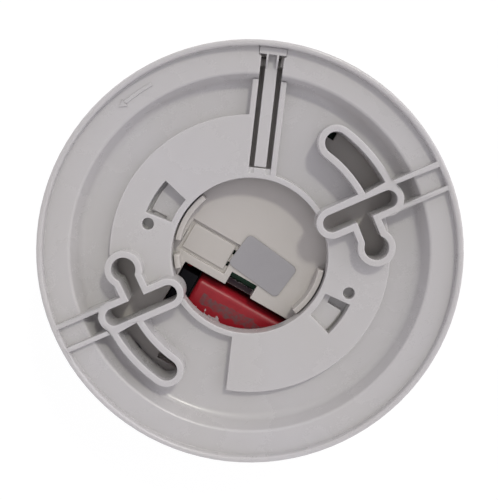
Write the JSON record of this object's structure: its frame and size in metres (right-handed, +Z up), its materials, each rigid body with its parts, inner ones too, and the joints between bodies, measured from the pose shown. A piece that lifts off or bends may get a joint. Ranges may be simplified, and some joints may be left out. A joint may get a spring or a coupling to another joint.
{
  "type": "smoke detector",
  "caption": "Round battery smoke alarm with a twist-lock ceiling bracket: slotted dished bracket, vented case, test button, sounder and optical smoke chamber.",
  "frame": {"origin": "on the alarm's axis, in the ceiling plane that the bracket's rim, collars and ribs touch", "axes": "+Z up into the ceiling; X along the line of the two ceiling screws; +Y makes the frame right-handed, with the release tongue 60 degrees from +X"},
  "size_m": [0.1064, 0.1064, 0.0446],
  "materials": {
    "bracket_white": "satin moulded ABS, off-white",
    "case_white": "satin moulded ABS, off-white",
    "button_white": "satin",
    "board_green": "solder-resist green",
    "battery_red": "glossy printed steel jacket",
    "black_vinyl": "soft black vinyl",
    "switch_black": "matt black",
    "chamber_black": "matt black, non-reflecting",
    "capacitor_sleeve": "shrink sleeve",
    "ferrite": "dull sintered",
    "label_grey": "silver-grey foil sticker",
    "lead_red": "wire insulation",
    "lead_black": "wire insulation",
    "clear_pipe": "clear acrylic",
    "lamp_red": "tinted epoxy",
    "smoked_diode": "dark epoxy",
    "brass": "bare",
    "plated_steel": "zinc plated",
    "steel_mesh": "bare",
    "ceramic": "silvered ceramic"
  },
  "bodies": {
    "bracket": {"mounting_bracket": "bracket_white"},
    "tongue": {"release_tongue": "bracket_white"},
    "alarm": {"rear_housing": "case_white", "front_cover": "case_white", "tact_switch": "switch_black", "status_led": "lamp_red", "light_pipe": "clear_pipe", "main_pcb": "board_green", "board_screw_1": "plated_steel", "board_screw_2": "plated_steel", "board_screw_3": "plated_steel", "case_screw_1": "plated_steel", "case_screw_2": "plated_steel", "case_screw_3": "plated_steel", "chamber_base": "chamber_black", "chamber_cover": "chamber_black", "insect_screen": "steel_mesh", "ir_emitter": "smoked_diode", "photodiode": "smoked_diode", "horn_housing": "chamber_black", "piezo_disc": "brass", "piezo_ceramic": "ceramic", "piezo_contact_main": "brass", "piezo_contact_feedback": "brass", "piezo_contact_ground": "brass", "battery_body": "battery_red", "battery_terminal_positive": "plated_steel", "battery_terminal_negative": "plated_steel", "battery_snap": "black_vinyl", "battery_lead_positive": "lead_red", "battery_lead_negative": "lead_black", "lead_header": "switch_black", "supply_capacitor": "capacitor_sleeve", "horn_coil": "ferrite", "controller_ic": "switch_black", "rating_label": "label_grey"},
    "button": {"test_button": "button_white", "switch_stem": "switch_black"}
  },
  "joints": [
    {"name": "body_twist", "type": "hinge", "parent": "bracket", "child": "alarm", "pos_m": [0, 0, 0], "axis": [0, 0, -1], "range_deg": [0, 12]},
    {"name": "tongue_flex", "type": "hinge", "parent": "bracket", "child": "tongue", "pos_m": [0.01132, 0.01962, -0.0048], "axis": [0.866, -0.5, 0], "range_deg": [0, 3], "stiffness_Nm_per_rad": 0.3},
    {"name": "button_press", "type": "slide", "parent": "alarm", "child": "button", "axis": [0, 0, 1], "range_m": [0, 0.001], "stiffness_N_per_m": 300}
  ]
}
